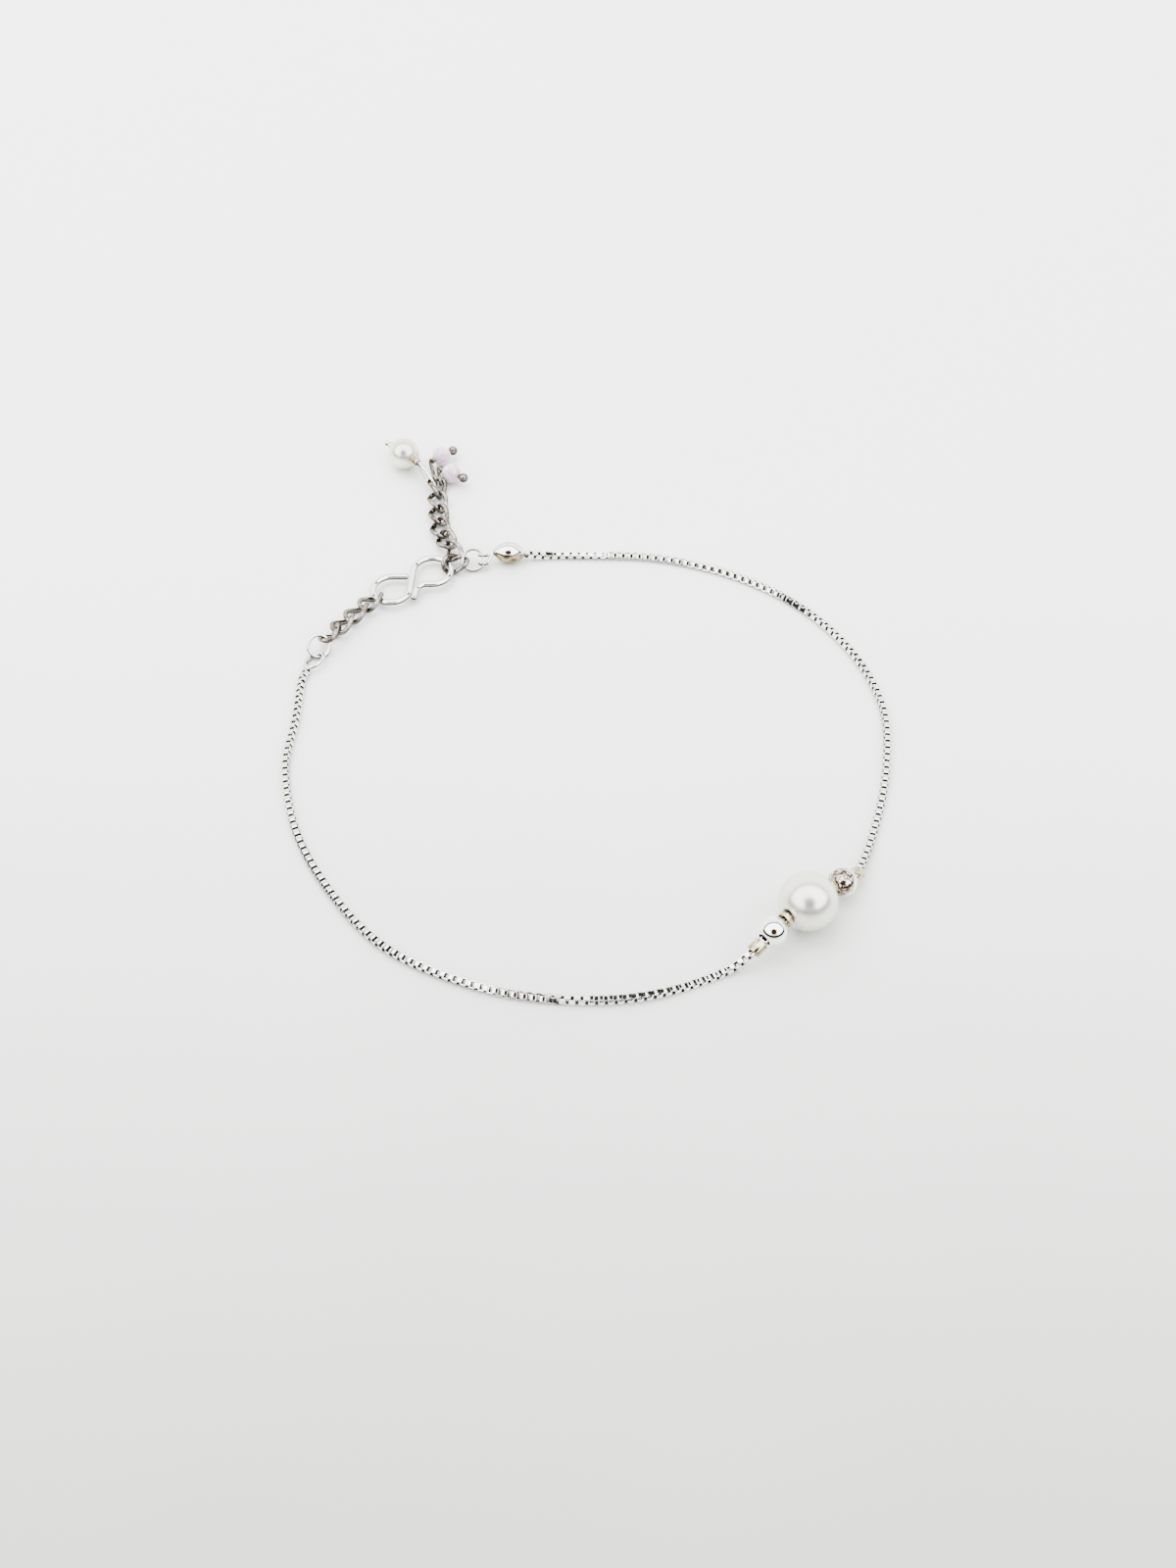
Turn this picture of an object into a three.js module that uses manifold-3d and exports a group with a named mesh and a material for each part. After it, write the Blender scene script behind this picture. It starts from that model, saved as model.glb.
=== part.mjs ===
// A payal: a silver anklet of fine box chain, fastened into a loop and laid flat.
// Round the loop: an end loop, a jump ring, four curb links, an S hook, the seven
// curb links of the extension with a tassel of three charms, a jump ring, a bead
// tip, and the chain itself, which carries one pearl between balls, seeds and crimps.
// Millimetres, +Z up. The anklet lies on the plane z = 0.

import * as THREE from 'three'
import { mergeVertices } from 'three/addons/utils/BufferGeometryUtils.js'
import Module from 'manifold-3d'

const wasm = await Module()
wasm.setup()

// Driving dimensions

const PLAY = 0.06 // least gap between two pieces that touch on the real thing
const CHAIN_WIDTH = 1.1
const CHAIN_STEPS = 80
const BEAD_PLAY = 0.2 // between two beads, which the chain's bend needs
const BORE_PLAY = 0.34 // from the chain's corners to the wall of a hole it goes through

const PEARL_DIAMETER = 8
const PEARL_PLACE = { x: 29.0, y: -38.8 }
const BALL_DIAMETER = 4
const SEED_WALL = 0.17
const SEED_LENGTH = 0.7
const CRIMP_WALL = 0.16
const CRIMP_LENGTH = 1.9
const SLEEVE_ROUNDING = 0.5 // of a short tube's rims, in shares of its wall
const CRIMP_GAP = 0.3 // the crimp is squeezed on a little way from its ball

const RING_WIRE = 0.5
const RING_DIAMETER = 3.8
const END_LOOP_WIRE = 0.45
const END_LOOP_LENGTH = 3.7
const END_LOOP_WIDTH = 3.0
const END_LOOP_NECK = 0.45 // the stem that joins the loop to the chain's first link
const END_LOOP_NECK_DIAMETER = 0.66
const END_LOOP_LIFT = 0.2 // of the loop's middle over the chain's

const LINK_WIRE = 0.52
const LINK_LENGTH = 4.36
const LINK_WIDTH = 3.16
const LINK_TWIST = -0.55 // how far the curb twist lifts or lowers a link's sides

const HOOK_WIRE = 0.8
const HOOK_HEIGHT = 1.2
// Where the hook's wire hangs in a link, and the way from there to the bend's centre
const HOOK_EYE = { x: -31.95, y: 20.75, turn: 45, radius: 2.8 }
const HOOK_BEND = { x: -21.4, y: 28.12, turn: 208, radius: 2.9 }
const HOOK_LEAD = 2.4 // the straight wire before the eye's bend
const HOOK_TAIL = 3.2
const HOOK_TAIL_BEND = [ // where the tail turns down, in shares of its length
  { back: 0.4, down: 0.02 },
  { back: 0.66, down: 0.3 },
  { back: 0.8, down: 1 },
]

const TIP_LENGTH = 5.5
const TIP_WIDTH = 3.3
const TIP_LOOP_WIRE = 0.4
const TIP_LOOP_DIAMETER = 1.7
const TIP_LOOP_TURNS = [24, -22] // degrees round the right jump ring
const TIP_RISE = 8
const TIP_FULLNESS = 0.8 // under 1 makes the cups blunter than a sine curve
const TIP_GAP = 0.16 // from the chain's end to the cups
const TIP_NECK_DIAMETER = 0.48 // of the wires from the cups to their loops
const TIP_NECK_DEPTH = 0.25 // how far those wires reach into the cups

const CHARM_PEARL_DIAMETER = 5
const CHARM_SEED_DIAMETER = 1.5
const CHARM_SEED_LENGTH = 0.9
const PINK_BEAD_DIAMETER = 3.1
const PINK_BEAD_LIFT = 0.05 // the links hold these beads just off the table
const PIN_HEAD_DIAMETER = 1.5
const PIN_WIRE = 0.45
const PIN_PLAY = 0.12
const EYE_WIDTH = 1.45
const EYE_SWELL = 0.35 // the eye is wider by this share at its far end
const WRAP_DIAMETER = 1.17
const CHARM_HEAD_DIAMETER = 0.9

// The chain's route on the table, from the end loop round to the left crimp,
// and from the right crimp round to the bead tip

const LEFT_ROUTE = [
  { x: -41.5, y: 6.3 },
  { x: -41.95, y: 5.0 },
  { x: -42.2, y: -3.0 },
  { x: -42.8, y: -12.2 },
  { x: -40.3, y: -23.9 },
  { x: -34.8, y: -34.4 },
  { x: -27.0, y: -43.6 },
  { x: -16.5, y: -49.2 },
  { x: -4.9, y: -51.9 },
  { x: 7.1, y: -51.6 },
  { x: 18.3, y: -47.5 },
]
const RIGHT_ROUTE = [
  { x: 39.0, y: -25.2 },
  { x: 42.2, y: -12.5 },
  { x: 42.7, y: -0.6 },
  { x: 38.9, y: 10.7 },
  { x: 31.6, y: 20.2 },
  { x: 21.8, y: 26.8 },
  { x: 10.3, y: 30.4 },
  { x: -1.7, y: 30.9 },
  { x: -6.0, y: 30.85 },
  { x: -9.3, y: 30.6, z: 1.15 },
]

// Where each curb link lies: its middle, the heading of its long axis from +X,
// the rise of that axis and the roll about it, in degrees

const LEFT_LINKS = [
  { x: -38.25, y: 12.75, z: 1.72, heading: 58, rise: -9, roll: -51 },
  { x: -36.7, y: 15.45, z: 1.2, heading: 54, rise: -2, roll: -24 },
  { x: -34.85, y: 17.85, z: 1.12, heading: 48, rise: 2, roll: -20 },
  { x: -32.85, y: 20.15, z: 1.2, heading: 44, rise: 0, roll: -20 },
]
const EXTENSION_LINKS = [
  { x: -20.5, y: 28.5, z: 1.27, heading: 26, rise: 0, roll: 20 },
  { x: -21.0, y: 30.95, z: 1.58, heading: 113, rise: -2, roll: -54 },
  { x: -22.15, y: 33.85, z: 1.18, heading: 108, rise: -2, roll: -15 },
  { x: -23.2, y: 36.7, z: 1.0, heading: 98, rise: 0, roll: -8 },
  { x: -23.6, y: 39.8, z: 0.98, heading: 95, rise: 0, roll: 6 },
  { x: -23.9, y: 42.9, z: 1.07, heading: 94, rise: 0, roll: 18 },
  { x: -24.1, y: 46.0, z: 1.32, heading: 92, rise: 0, roll: 36 },
]

// The two jump rings: the middle, the tilt of the far side and the drop of the right
// side, in degrees, and the end loop's heading and roll

const RING_LEFT = { x: -39.93, y: 10.42, z: 1.555, tilt: 40, drop: 31 }
const RING_RIGHT = { x: -17.7, y: 29.05, z: 1.45, tilt: 40, drop: 0 }
const END_LOOP_HEADING = 62
const END_LOOP_ROLL = -20

// Each charm: the middle of its bead, the heading and rise of its pin towards the eye,
// the length of the wrapped wire, and the eye's far end, inside the last curb link

const CHARMS = {
  pearl: {
    bead: { x: -29.7, y: 52.7, z: CHARM_PEARL_DIAMETER / 2 },
    heading: -49.2,
    rise: 8.9,
    wrap: 0.36,
    eye: { x: -24.42, y: 46.05, z: 0.9 },
  },
  pink_1: {
    bead: { x: -23.7, y: 53.15, z: PINK_BEAD_DIAMETER / 2 + PINK_BEAD_LIFT },
    heading: -137.5,
    rise: 4.7,
    wrap: 0.84,
    eye: { x: -24.3, y: 47.0, z: 1.15 },
  },
  pink_2: {
    bead: { x: -21.95, y: 48.9, z: PINK_BEAD_DIAMETER / 2 + PINK_BEAD_LIFT },
    heading: 148.1,
    rise: -4.3,
    wrap: 1.05,
    eye: { x: -23.6, y: 46.8, z: 1.3 },
  },
}

// Materials

function finish(color, roughness, metalness) {
  return new THREE.MeshStandardMaterial({ color, roughness, metalness })
}

const silver = () => finish(0xdcdcda, 0.16, 1)
const greySilver = () => finish(0x8f8a80, 0.3, 1)
const gold = () => finish(0xd8c490, 0.25, 1)
const paleGold = () => finish(0xe6e0cc, 0.25, 1)
const nacre = () => finish(0xe9e6dc, 0.28, 0)
const lilac = () => finish(0xdcd3da, 0.2, 0)

// Mesh tools

// One closed solid: shared corners merged and every face pointing out
function solid(geometry) {
  const bare = geometry.clone()
  bare.deleteAttribute('normal')
  bare.deleteAttribute('uv')
  const merged = mergeVertices(bare, 1e-4)
  const position = merged.getAttribute('position')
  const index = Array.from(merged.index.array)
  const corner = i => new THREE.Vector3().fromBufferAttribute(position, i)
  const faces = []
  let volume = 0
  for (let i = 0; i < index.length; i += 3) {
    const [a, b, c] = index.slice(i, i + 3)
    if (a === b || b === c || c === a) continue
    faces.push([a, b, c])
    volume += corner(a).dot(corner(b).cross(corner(c)))
  }
  if (volume < 0) faces.forEach(face => face.reverse())
  merged.setIndex(faces.flat())
  return merged
}

function toManifold(geometry) {
  const closed = solid(geometry)
  return new wasm.Manifold(
    new wasm.Mesh({
      numProp: 3,
      vertProperties: new Float32Array(closed.getAttribute('position').array),
      triVerts: new Uint32Array(closed.index.array),
    })
  )
}

function fromManifold(body) {
  const mesh = body.getMesh()
  const geometry = new THREE.BufferGeometry()
  geometry.setAttribute('position', new THREE.BufferAttribute(new Float32Array(mesh.vertProperties), 3))
  geometry.setIndex(Array.from(mesh.triVerts))
  return geometry
}

function fuse(...geometries) {
  return fromManifold(geometries.map(toManifold).reduce((whole, next) => whole.add(next)))
}

const UP = new THREE.Vector3(0, 0, 1)
const radians = THREE.MathUtils.degToRad
const vector = ({ x, y, z }) => new THREE.Vector3(x, y, z)
const placeOf = ({ x, y, z }) => ({ x, y, z })

// A curve whose sections all stand upright, so that a flat underside stays level
class LevelCurve extends THREE.CatmullRomCurve3 {
  computeFrenetFrames(segments) {
    const frames = { tangents: [], normals: [], binormals: [] }
    for (let i = 0; i <= segments; i++) {
      const tangent = this.getTangentAt(i / segments)
      const binormal = tangent.clone().cross(UP).normalize()
      frames.tangents.push(tangent)
      frames.normals.push(binormal.clone().cross(tangent).normalize())
      frames.binormals.push(binormal)
    }
    return frames
  }
}

// A round section with flat sides: the distance across two of them is the diameter
function section(diameter, sides) {
  const radius = diameter / 2 / Math.cos(Math.PI / sides)
  const points = []
  for (let i = 0; i < sides; i++) {
    const angle = ((i + 0.5) / sides) * 2 * Math.PI
    points.push(new THREE.Vector2(radius * Math.cos(angle), radius * Math.sin(angle)))
  }
  return new THREE.Shape(points)
}

function wireAlong(curve, diameter, sides, steps) {
  const options = { steps, extrudePath: curve, bevelEnabled: false }
  return new THREE.ExtrudeGeometry(section(diameter, sides), options)
}

// A closed wire: a torus bent onto the curve that at(turn) gives, turn from 0 to 1
function closedWire(at, wire, sides = 6, steps = 16) {
  const tube = 0.5
  const geometry = new THREE.TorusGeometry(1, tube, sides, steps)
  const position = geometry.getAttribute('position')
  const place = new THREE.Vector3()
  const nearby = 1e-3
  for (let i = 0; i < position.count; i++) {
    place.fromBufferAttribute(position, i)
    const turn = Math.round((Math.atan2(place.y, place.x) / (2 * Math.PI)) * steps) / steps
    const outward = (Math.hypot(place.x, place.y) - 1) / tube
    const upward = place.z / tube
    const tangent = at(turn + nearby).sub(at(turn - nearby)).normalize()
    const out = tangent.clone().cross(UP).normalize()
    const rise = out.clone().cross(tangent)
    const point = at(turn)
      .addScaledVector(out, (outward * wire) / 2)
      .addScaledVector(rise, (upward * wire) / 2)
    position.setXYZ(i, point.x, point.y, point.z)
  }
  return geometry
}

function oval(length, width, twist = 0) {
  return turn => {
    const angle = turn * 2 * Math.PI
    return new THREE.Vector3(
      (length / 2) * Math.cos(angle),
      (width / 2) * Math.sin(angle),
      twist * Math.sin(2 * angle)
    )
  }
}

// Moves a shape made along +X round the origin to a middle, a heading, a rise and a roll
function placed(geometry, { x, y, z, heading = 0, rise = 0, roll = 0 }) {
  const turn = new THREE.Matrix4().makeRotationFromEuler(
    new THREE.Euler(radians(roll), radians(-rise), radians(heading), 'ZYX')
  )
  return geometry.clone().applyMatrix4(turn).applyMatrix4(new THREE.Matrix4().makeTranslation(x, y, z))
}

// The unit vector of a heading and a rise in degrees
function wayOf(heading, rise) {
  const level = Math.cos(radians(rise))
  return new THREE.Vector3(
    level * Math.cos(radians(heading)),
    level * Math.sin(radians(heading)),
    Math.sin(radians(rise))
  )
}

// The place of something that points from one point to another, with a share of the way
function between(from, to, share = 0.5, roll = 0) {
  const way = to.clone().sub(from)
  const place = from.clone().lerp(to, share)
  return {
    x: place.x,
    y: place.y,
    z: place.z,
    heading: THREE.MathUtils.radToDeg(Math.atan2(way.y, way.x)),
    rise: THREE.MathUtils.radToDeg(Math.atan2(way.z, Math.hypot(way.x, way.y))),
    roll,
  }
}

// A profile of (radius, along) turned about the +X axis
function turned(profile, sides) {
  const points = profile.map(([radius, along]) => new THREE.Vector2(radius, along))
  return new THREE.LatheGeometry(points, sides).rotateZ(-Math.PI / 2)
}

// A round bead with a straight hole along +X
function drilledBead(diameter, bore, sides, rows) {
  const radius = diameter / 2
  const start = Math.asin(bore / 2 / radius)
  const profile = []
  for (let i = 0; i <= rows; i++) {
    const angle = start + ((Math.PI - 2 * start) * i) / rows
    profile.push([radius * Math.sin(angle), -radius * Math.cos(angle)])
  }
  profile.push(profile[0])
  return turned(profile, sides)
}

// A short tube with rounded rims, its hole along +X
function sleeve(diameter, length, bore, sides) {
  const outer = diameter / 2
  const inner = bore / 2
  const rim = (outer - inner) * SLEEVE_ROUNDING
  const half = length / 2
  const profile = [
    [inner, -half],
    [outer - rim, -half],
    [outer, -half + rim],
    [outer, half - rim],
    [outer - rim, half],
    [inner, half],
    [inner, -half],
  ]
  return turned(profile, sides)
}

// A solid rod along +X with plain ends
function rod(diameter, length, sides) {
  return new THREE.CylinderGeometry(diameter / 2, diameter / 2, length, sides).rotateZ(-Math.PI / 2)
}

// The pearl and what is threaded beside it, outwards on both sides

const CHAIN_CORNER = CHAIN_WIDTH / 2 / Math.cos(Math.PI / 8)
const BEAD_BORE = 2 * (CHAIN_CORNER + BORE_PLAY)
const CHAIN_HEIGHT = CHAIN_WIDTH / 2

// How far a sphere's surface lies back from its pole at the edge of the hole
const poleDrop = diameter => diameter / 2 - Math.sqrt((diameter / 2) ** 2 - (BEAD_BORE / 2) ** 2)

function beadRun(headings, slopes) {
  const pearl = new THREE.Vector3(PEARL_PLACE.x, PEARL_PLACE.y, PEARL_DIAMETER / 2)
  const seat = {
    seed: PEARL_DIAMETER / 2 - poleDrop(PEARL_DIAMETER) + BEAD_PLAY + SEED_LENGTH / 2,
    ball: SEED_LENGTH / 2 + BEAD_PLAY - poleDrop(BALL_DIAMETER) + BALL_DIAMETER / 2,
    crimp: BALL_DIAMETER / 2 - poleDrop(BALL_DIAMETER) + CRIMP_GAP + CRIMP_LENGTH / 2,
  }
  const run = { pearl }
  let place = pearl
  for (const name of ['seed', 'ball', 'crimp']) {
    const step = wayOf(headings[name], slopes[name])
    place = place.clone().addScaledVector(step, seat[name])
    run[name] = place
    run[name + 'Way'] = step
  }
  return run
}

const leftRun = beadRun({ seed: 224, ball: 224, crimp: 222 }, { seed: 2, ball: -9, crimp: -19 })
const rightRun = beadRun({ seed: 41, ball: 39, crimp: 46 }, { seed: -9, ball: -18, crimp: -18 })

// A level curve that bends down to the table and no lower
class TableCurve extends LevelCurve {
  getPoint(share, target) {
    const point = super.getPoint(share, target)
    point.z = Math.max(point.z, CHAIN_HEIGHT)
    return point
  }
}

const onTable = ({ x, y, z = CHAIN_HEIGHT }) => new THREE.Vector3(x, y, z)
const chainRoute = new TableCurve(
  [
    ...LEFT_ROUTE.map(onTable),
    leftRun.crimp,
    leftRun.ball,
    leftRun.seed,
    leftRun.pearl,
    rightRun.seed,
    rightRun.ball,
    rightRun.crimp,
    ...RIGHT_ROUTE.map(onTable),
  ],
  false,
  'centripetal'
)

// Pieces

const group = new THREE.Group()

function add(name, geometry, material) {
  const mesh = new THREE.Mesh(solid(geometry), material)
  mesh.name = name
  group.add(mesh)
}

function addChain() {
  add('box_chain', wireAlong(chainRoute, CHAIN_WIDTH, 8, CHAIN_STEPS), silver())
}

function addBeads() {
  add(
    'pearl',
    placed(
      drilledBead(PEARL_DIAMETER, BEAD_BORE, 16, 12),
      { ...between(leftRun.seed, rightRun.seed), ...placeOf(leftRun.pearl) }
    ),
    nacre()
  )
  const sides = [
    ['left', leftRun],
    ['right', rightRun],
  ]
  for (const [side, run] of sides) {
    const along = (place, way) => between(place.clone().sub(way), place.clone().add(way))
    const seed = sleeve(BEAD_BORE + 2 * SEED_WALL, SEED_LENGTH, BEAD_BORE, 10)
    const ball = drilledBead(BALL_DIAMETER, BEAD_BORE, 14, 10)
    const crimp = sleeve(BEAD_BORE + 2 * CRIMP_WALL, CRIMP_LENGTH, BEAD_BORE, 12)
    add('seed_' + side, placed(seed, along(run.seed, run.seedWay)), gold())
    add('ball_' + side, placed(ball, along(run.ball, run.ballWay)), silver())
    add('crimp_' + side, placed(crimp, along(run.crimp, run.crimpWay)), paleGold())
  }
}

function addLinks() {
  const link = closedWire(oval(LINK_LENGTH - LINK_WIRE, LINK_WIDTH - LINK_WIRE, LINK_TWIST), LINK_WIRE)
  LEFT_LINKS.forEach((place, i) => add('curb_link_' + (i + 1), placed(link, place), greySilver()))
  EXTENSION_LINKS.forEach((place, i) => add('extension_link_' + (i + 1), placed(link, place), greySilver()))
}

function addRings() {
  const across = RING_DIAMETER - RING_WIRE
  const ring = closedWire(oval(across, across), RING_WIRE)
  const ringPlace = ({ x, y, z, tilt, drop }) => ({ x, y, z, rise: -drop, roll: tilt })
  add('jump_ring_left', placed(ring, ringPlace(RING_LEFT)), silver())
  add('jump_ring_right', placed(ring, ringPlace(RING_RIGHT)), silver())
}

// The end loop leans on the table with its neck against the chain's first link
function addEndLoop() {
  const start = chainRoute.getPointAt(0)
  const outline = oval(END_LOOP_LENGTH - END_LOOP_WIRE, END_LOOP_WIDTH - END_LOOP_WIRE)
  const loop = closedWire(outline, END_LOOP_WIRE)
  const wireMiddle = END_LOOP_LENGTH / 2 - END_LOOP_WIRE / 2
  const reach = 2 * PLAY + END_LOOP_NECK + wireMiddle
  const stem = rod(END_LOOP_NECK_DIAMETER, END_LOOP_NECK, 8).translate(-wireMiddle - END_LOOP_NECK / 2, 0, 0)
  const heading = radians(END_LOOP_HEADING)
  const place = {
    x: start.x + reach * Math.cos(heading),
    y: start.y + reach * Math.sin(heading),
    z: start.z + END_LOOP_LIFT,
    heading: END_LOOP_HEADING,
    roll: END_LOOP_ROLL,
  }
  add('end_loop', placed(fuse(loop, stem), place), silver())
}

// Two bends joined by the straight wire that crosses from one to the other
function addHook() {
  const centreOf = ({ x, y, turn, radius }) =>
    new THREE.Vector2(x + radius * Math.cos(radians(turn)), y + radius * Math.sin(radians(turn)))
  const eye = centreOf(HOOK_EYE)
  const bend = centreOf(HOOK_BEND)
  const way = bend.clone().sub(eye)
  const cross = way.angle() - Math.acos((HOOK_EYE.radius + HOOK_BEND.radius) / way.length())
  const points = []
  const push = (x, y) => points.push(new THREE.Vector3(x, y, HOOK_HEIGHT))
  const arc = (centre, radius, from, to, count) => {
    for (let i = 0; i <= count; i++) {
      const angle = from + ((to - from) * i) / count
      push(centre.x + radius * Math.cos(angle), centre.y + radius * Math.sin(angle))
    }
  }
  push(eye.x + HOOK_LEAD, eye.y + HOOK_EYE.radius)
  push(eye.x + HOOK_LEAD / 2, eye.y + HOOK_EYE.radius)
  arc(eye, HOOK_EYE.radius, Math.PI / 2, cross + 2 * Math.PI, 10)
  arc(bend, HOOK_BEND.radius, cross + Math.PI, -Math.PI / 2, 9)
  const last = points[points.length - 1]
  for (const { back, down } of HOOK_TAIL_BEND) push(last.x - HOOK_TAIL * back, last.y - HOOK_TAIL * down)
  add('s_hook', wireAlong(new LevelCurve(points, false, 'centripetal'), HOOK_WIRE, 8, 56), silver())
}

// Two cups closed like a clam, pointed at both ends, with a loop on each cup
function addBeadTip() {
  const end = chainRoute.getPointAt(1)
  const way = chainRoute.getTangentAt(1)
  const heading = THREE.MathUtils.radToDeg(Math.atan2(way.y, way.x))
  const half = TIP_LENGTH / 2
  const rows = 8
  const profile = []
  for (let i = 0; i <= rows; i++) {
    const share = i / rows
    profile.push([(TIP_WIDTH / 2) * Math.sin(Math.PI * share) ** TIP_FULLNESS, -half + TIP_LENGTH * share])
  }
  const level = way.clone().setZ(0).normalize()
  const back = end.clone().addScaledVector(level, TIP_GAP)
  const middle = back.clone().addScaledVector(level, half).setZ(TIP_WIDTH / 2)
  const body = placed(turned(profile, 14), { ...placeOf(middle), heading, rise: TIP_RISE })
  const nose = middle.clone().addScaledVector(level, (half - TIP_NECK_DEPTH) * Math.cos(radians(TIP_RISE)))
  nose.z += (half - TIP_NECK_DEPTH) * Math.sin(radians(TIP_RISE))
  const across = TIP_LOOP_DIAMETER - TIP_LOOP_WIRE
  const loop = closedWire(oval(across, across), TIP_LOOP_WIRE, 6, 12)
  const shapes = [body]
  for (const turn of TIP_LOOP_TURNS) {
    const ringPoint = ringWireAt(RING_RIGHT, turn)
    shapes.push(placed(loop, { ...placeOf(ringPoint), roll: RING_RIGHT.tilt - 90 }))
    const outer = ringPoint.clone().add(new THREE.Vector3(across / 2, 0, 0))
    shapes.push(placed(rod(TIP_NECK_DIAMETER, outer.distanceTo(nose), 8), between(outer, nose)))
  }
  add('bead_tip', fuse(...shapes), silver())
}

// The middle of a jump ring's wire at a turn in degrees from its right side
function ringWireAt(ring, turn) {
  const radius = (RING_DIAMETER - RING_WIRE) / 2
  const place = new THREE.Vector3(Math.cos(radians(turn)), Math.sin(radians(turn)), 0)
  place.multiplyScalar(radius).applyEuler(new THREE.Euler(radians(ring.tilt), radians(ring.drop), 0, 'ZYX'))
  return place.add(vector(ring))
}

// A wire eye, narrow at its neck and round at its far end
function eyeOutline(length, width) {
  return turn => {
    const angle = turn * 2 * Math.PI
    const swell = 1 + EYE_SWELL * Math.cos(angle)
    return new THREE.Vector3((length / 2) * Math.cos(angle), (width / 2) * Math.sin(angle) * swell, 0)
  }
}

// A charm: beads threaded on a head pin whose wrapped eye hangs on the last curb link.
// beads: rows of name, diameter, length and material, from the pin's head to its neck,
// one of them marked main, whose middle is at the charm's bead place
function addCharm(pinName, { bead, heading, rise, wrap, eye }, beads, headDiameter, material) {
  const main = vector(bead)
  const way = wayOf(heading, rise)
  const bore = PIN_WIRE + 2 * PIN_PLAY
  const first = beads.findIndex(row => row.main)
  const pitch = i => (beads[i].length + beads[i + 1].length) / 2 + PLAY
  let along = 0
  for (let i = first; i > 0; i--) along -= pitch(i - 1)
  const start = along - beads[0].length / 2 - PLAY
  beads.forEach((row, i) => {
    if (i > 0) along += pitch(i - 1)
    const middle = main.clone().addScaledVector(way, along)
    const shape =
      row.length === row.diameter
        ? drilledBead(row.diameter, bore, row.main ? 14 : 10, row.main ? 10 : 6)
        : sleeve(row.diameter, row.length, bore, 10)
    add(row.name, placed(shape, between(middle, middle.clone().add(way), 0)), row.material)
  })
  const end = along + beads[beads.length - 1].length / 2 + PLAY
  const head = main.clone().addScaledVector(way, start - headDiameter / 2)
  const wrapFrom = main.clone().addScaledVector(way, end)
  const top = main.clone().addScaledVector(way, end + wrap)
  const shapes = [
    placed(rod(PIN_WIRE, head.distanceTo(top), 6), between(head, top)),
    placed(new THREE.SphereGeometry(headDiameter / 2, 10, 7), between(head, top, 0)),
    placed(rod(WRAP_DIAMETER, wrapFrom.distanceTo(top), 8), between(wrapFrom, top)),
    placed(
      closedWire(eyeOutline(top.distanceTo(vector(eye)), EYE_WIDTH), PIN_WIRE, 6, 14),
      between(top, vector(eye), 0.5, 90)
    ),
  ]
  add(pinName, fuse(...shapes), material)
}

function addCharms() {
  const round = (name, diameter, material) => ({ name, diameter, length: diameter, material })
  addCharm(
    'charm_pin',
    CHARMS.pearl,
    [
      round('charm_end_seed', CHARM_SEED_DIAMETER, nacre()),
      { ...round('charm_pearl', CHARM_PEARL_DIAMETER, nacre()), main: true },
      { name: 'charm_neck_seed', diameter: CHARM_SEED_DIAMETER, length: CHARM_SEED_LENGTH, material: gold() },
    ],
    CHARM_HEAD_DIAMETER,
    silver()
  )
  for (const i of [1, 2]) {
    const bead = { ...round('pink_bead_' + i, PINK_BEAD_DIAMETER, lilac()), main: true }
    addCharm('head_pin_' + i, CHARMS['pink_' + i], [bead], PIN_HEAD_DIAMETER, greySilver())
  }
}

addChain()
addBeads()
addLinks()
addRings()
addEndLoop()
addHook()
addBeadTip()
addCharms()

// The origin is on the table under the middle of the whole anklet

const box = new THREE.Box3().setFromObject(group)
const centre = box.getCenter(new THREE.Vector3())
group.position.set(-centre.x, -centre.y, 0)
group.updateMatrixWorld(true)

export default group
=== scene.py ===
"""A payal anklet on a pale table: fine box chain, one pearl between mirror balls, an S hook
in curb links, and an extension with three bead charms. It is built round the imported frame."""

import math

import bmesh
import bpy
from mathutils import Euler, Matrix, Vector


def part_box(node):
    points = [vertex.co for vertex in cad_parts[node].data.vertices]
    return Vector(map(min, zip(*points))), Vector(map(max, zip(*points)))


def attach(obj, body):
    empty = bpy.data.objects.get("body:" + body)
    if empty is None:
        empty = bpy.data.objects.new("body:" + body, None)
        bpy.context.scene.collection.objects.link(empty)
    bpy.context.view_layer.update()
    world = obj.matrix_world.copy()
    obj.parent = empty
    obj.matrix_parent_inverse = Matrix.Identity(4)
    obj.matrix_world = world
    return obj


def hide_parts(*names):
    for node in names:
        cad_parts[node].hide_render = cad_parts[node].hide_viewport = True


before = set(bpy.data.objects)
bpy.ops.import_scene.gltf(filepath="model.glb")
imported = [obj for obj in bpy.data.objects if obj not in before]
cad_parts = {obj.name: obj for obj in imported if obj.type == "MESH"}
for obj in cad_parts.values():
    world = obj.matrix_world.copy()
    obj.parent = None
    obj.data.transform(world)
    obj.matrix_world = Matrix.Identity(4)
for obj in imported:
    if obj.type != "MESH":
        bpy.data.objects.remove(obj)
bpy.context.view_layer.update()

# Everything below is in millimetres in the frame of the layout, in which the anklet was
# drawn; PLACE takes it to metres in the part's frame.

PEARL_MIDDLE = Vector((29.0, -38.8, 4.0))
MM = 0.001


def middle_of(node):
    low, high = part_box(node)
    return (low + high) / 2


SHIFT = middle_of("pearl") - PEARL_MIDDLE * MM
SHIFT.z = 0
PLACE = Matrix.Translation(SHIFT) @ Matrix.Scale(MM, 4)


def layout(node):
    """The middle of a CAD node's box, in layout millimetres."""
    return (middle_of(node) - SHIFT) / MM


# The camera, at the photograph's viewing angle

CAMERA_FOOT = Vector((0.0, -200.0, 218.0))
CAMERA_DOWN = 49.7
CAMERA_LENS = 46.6


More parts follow.
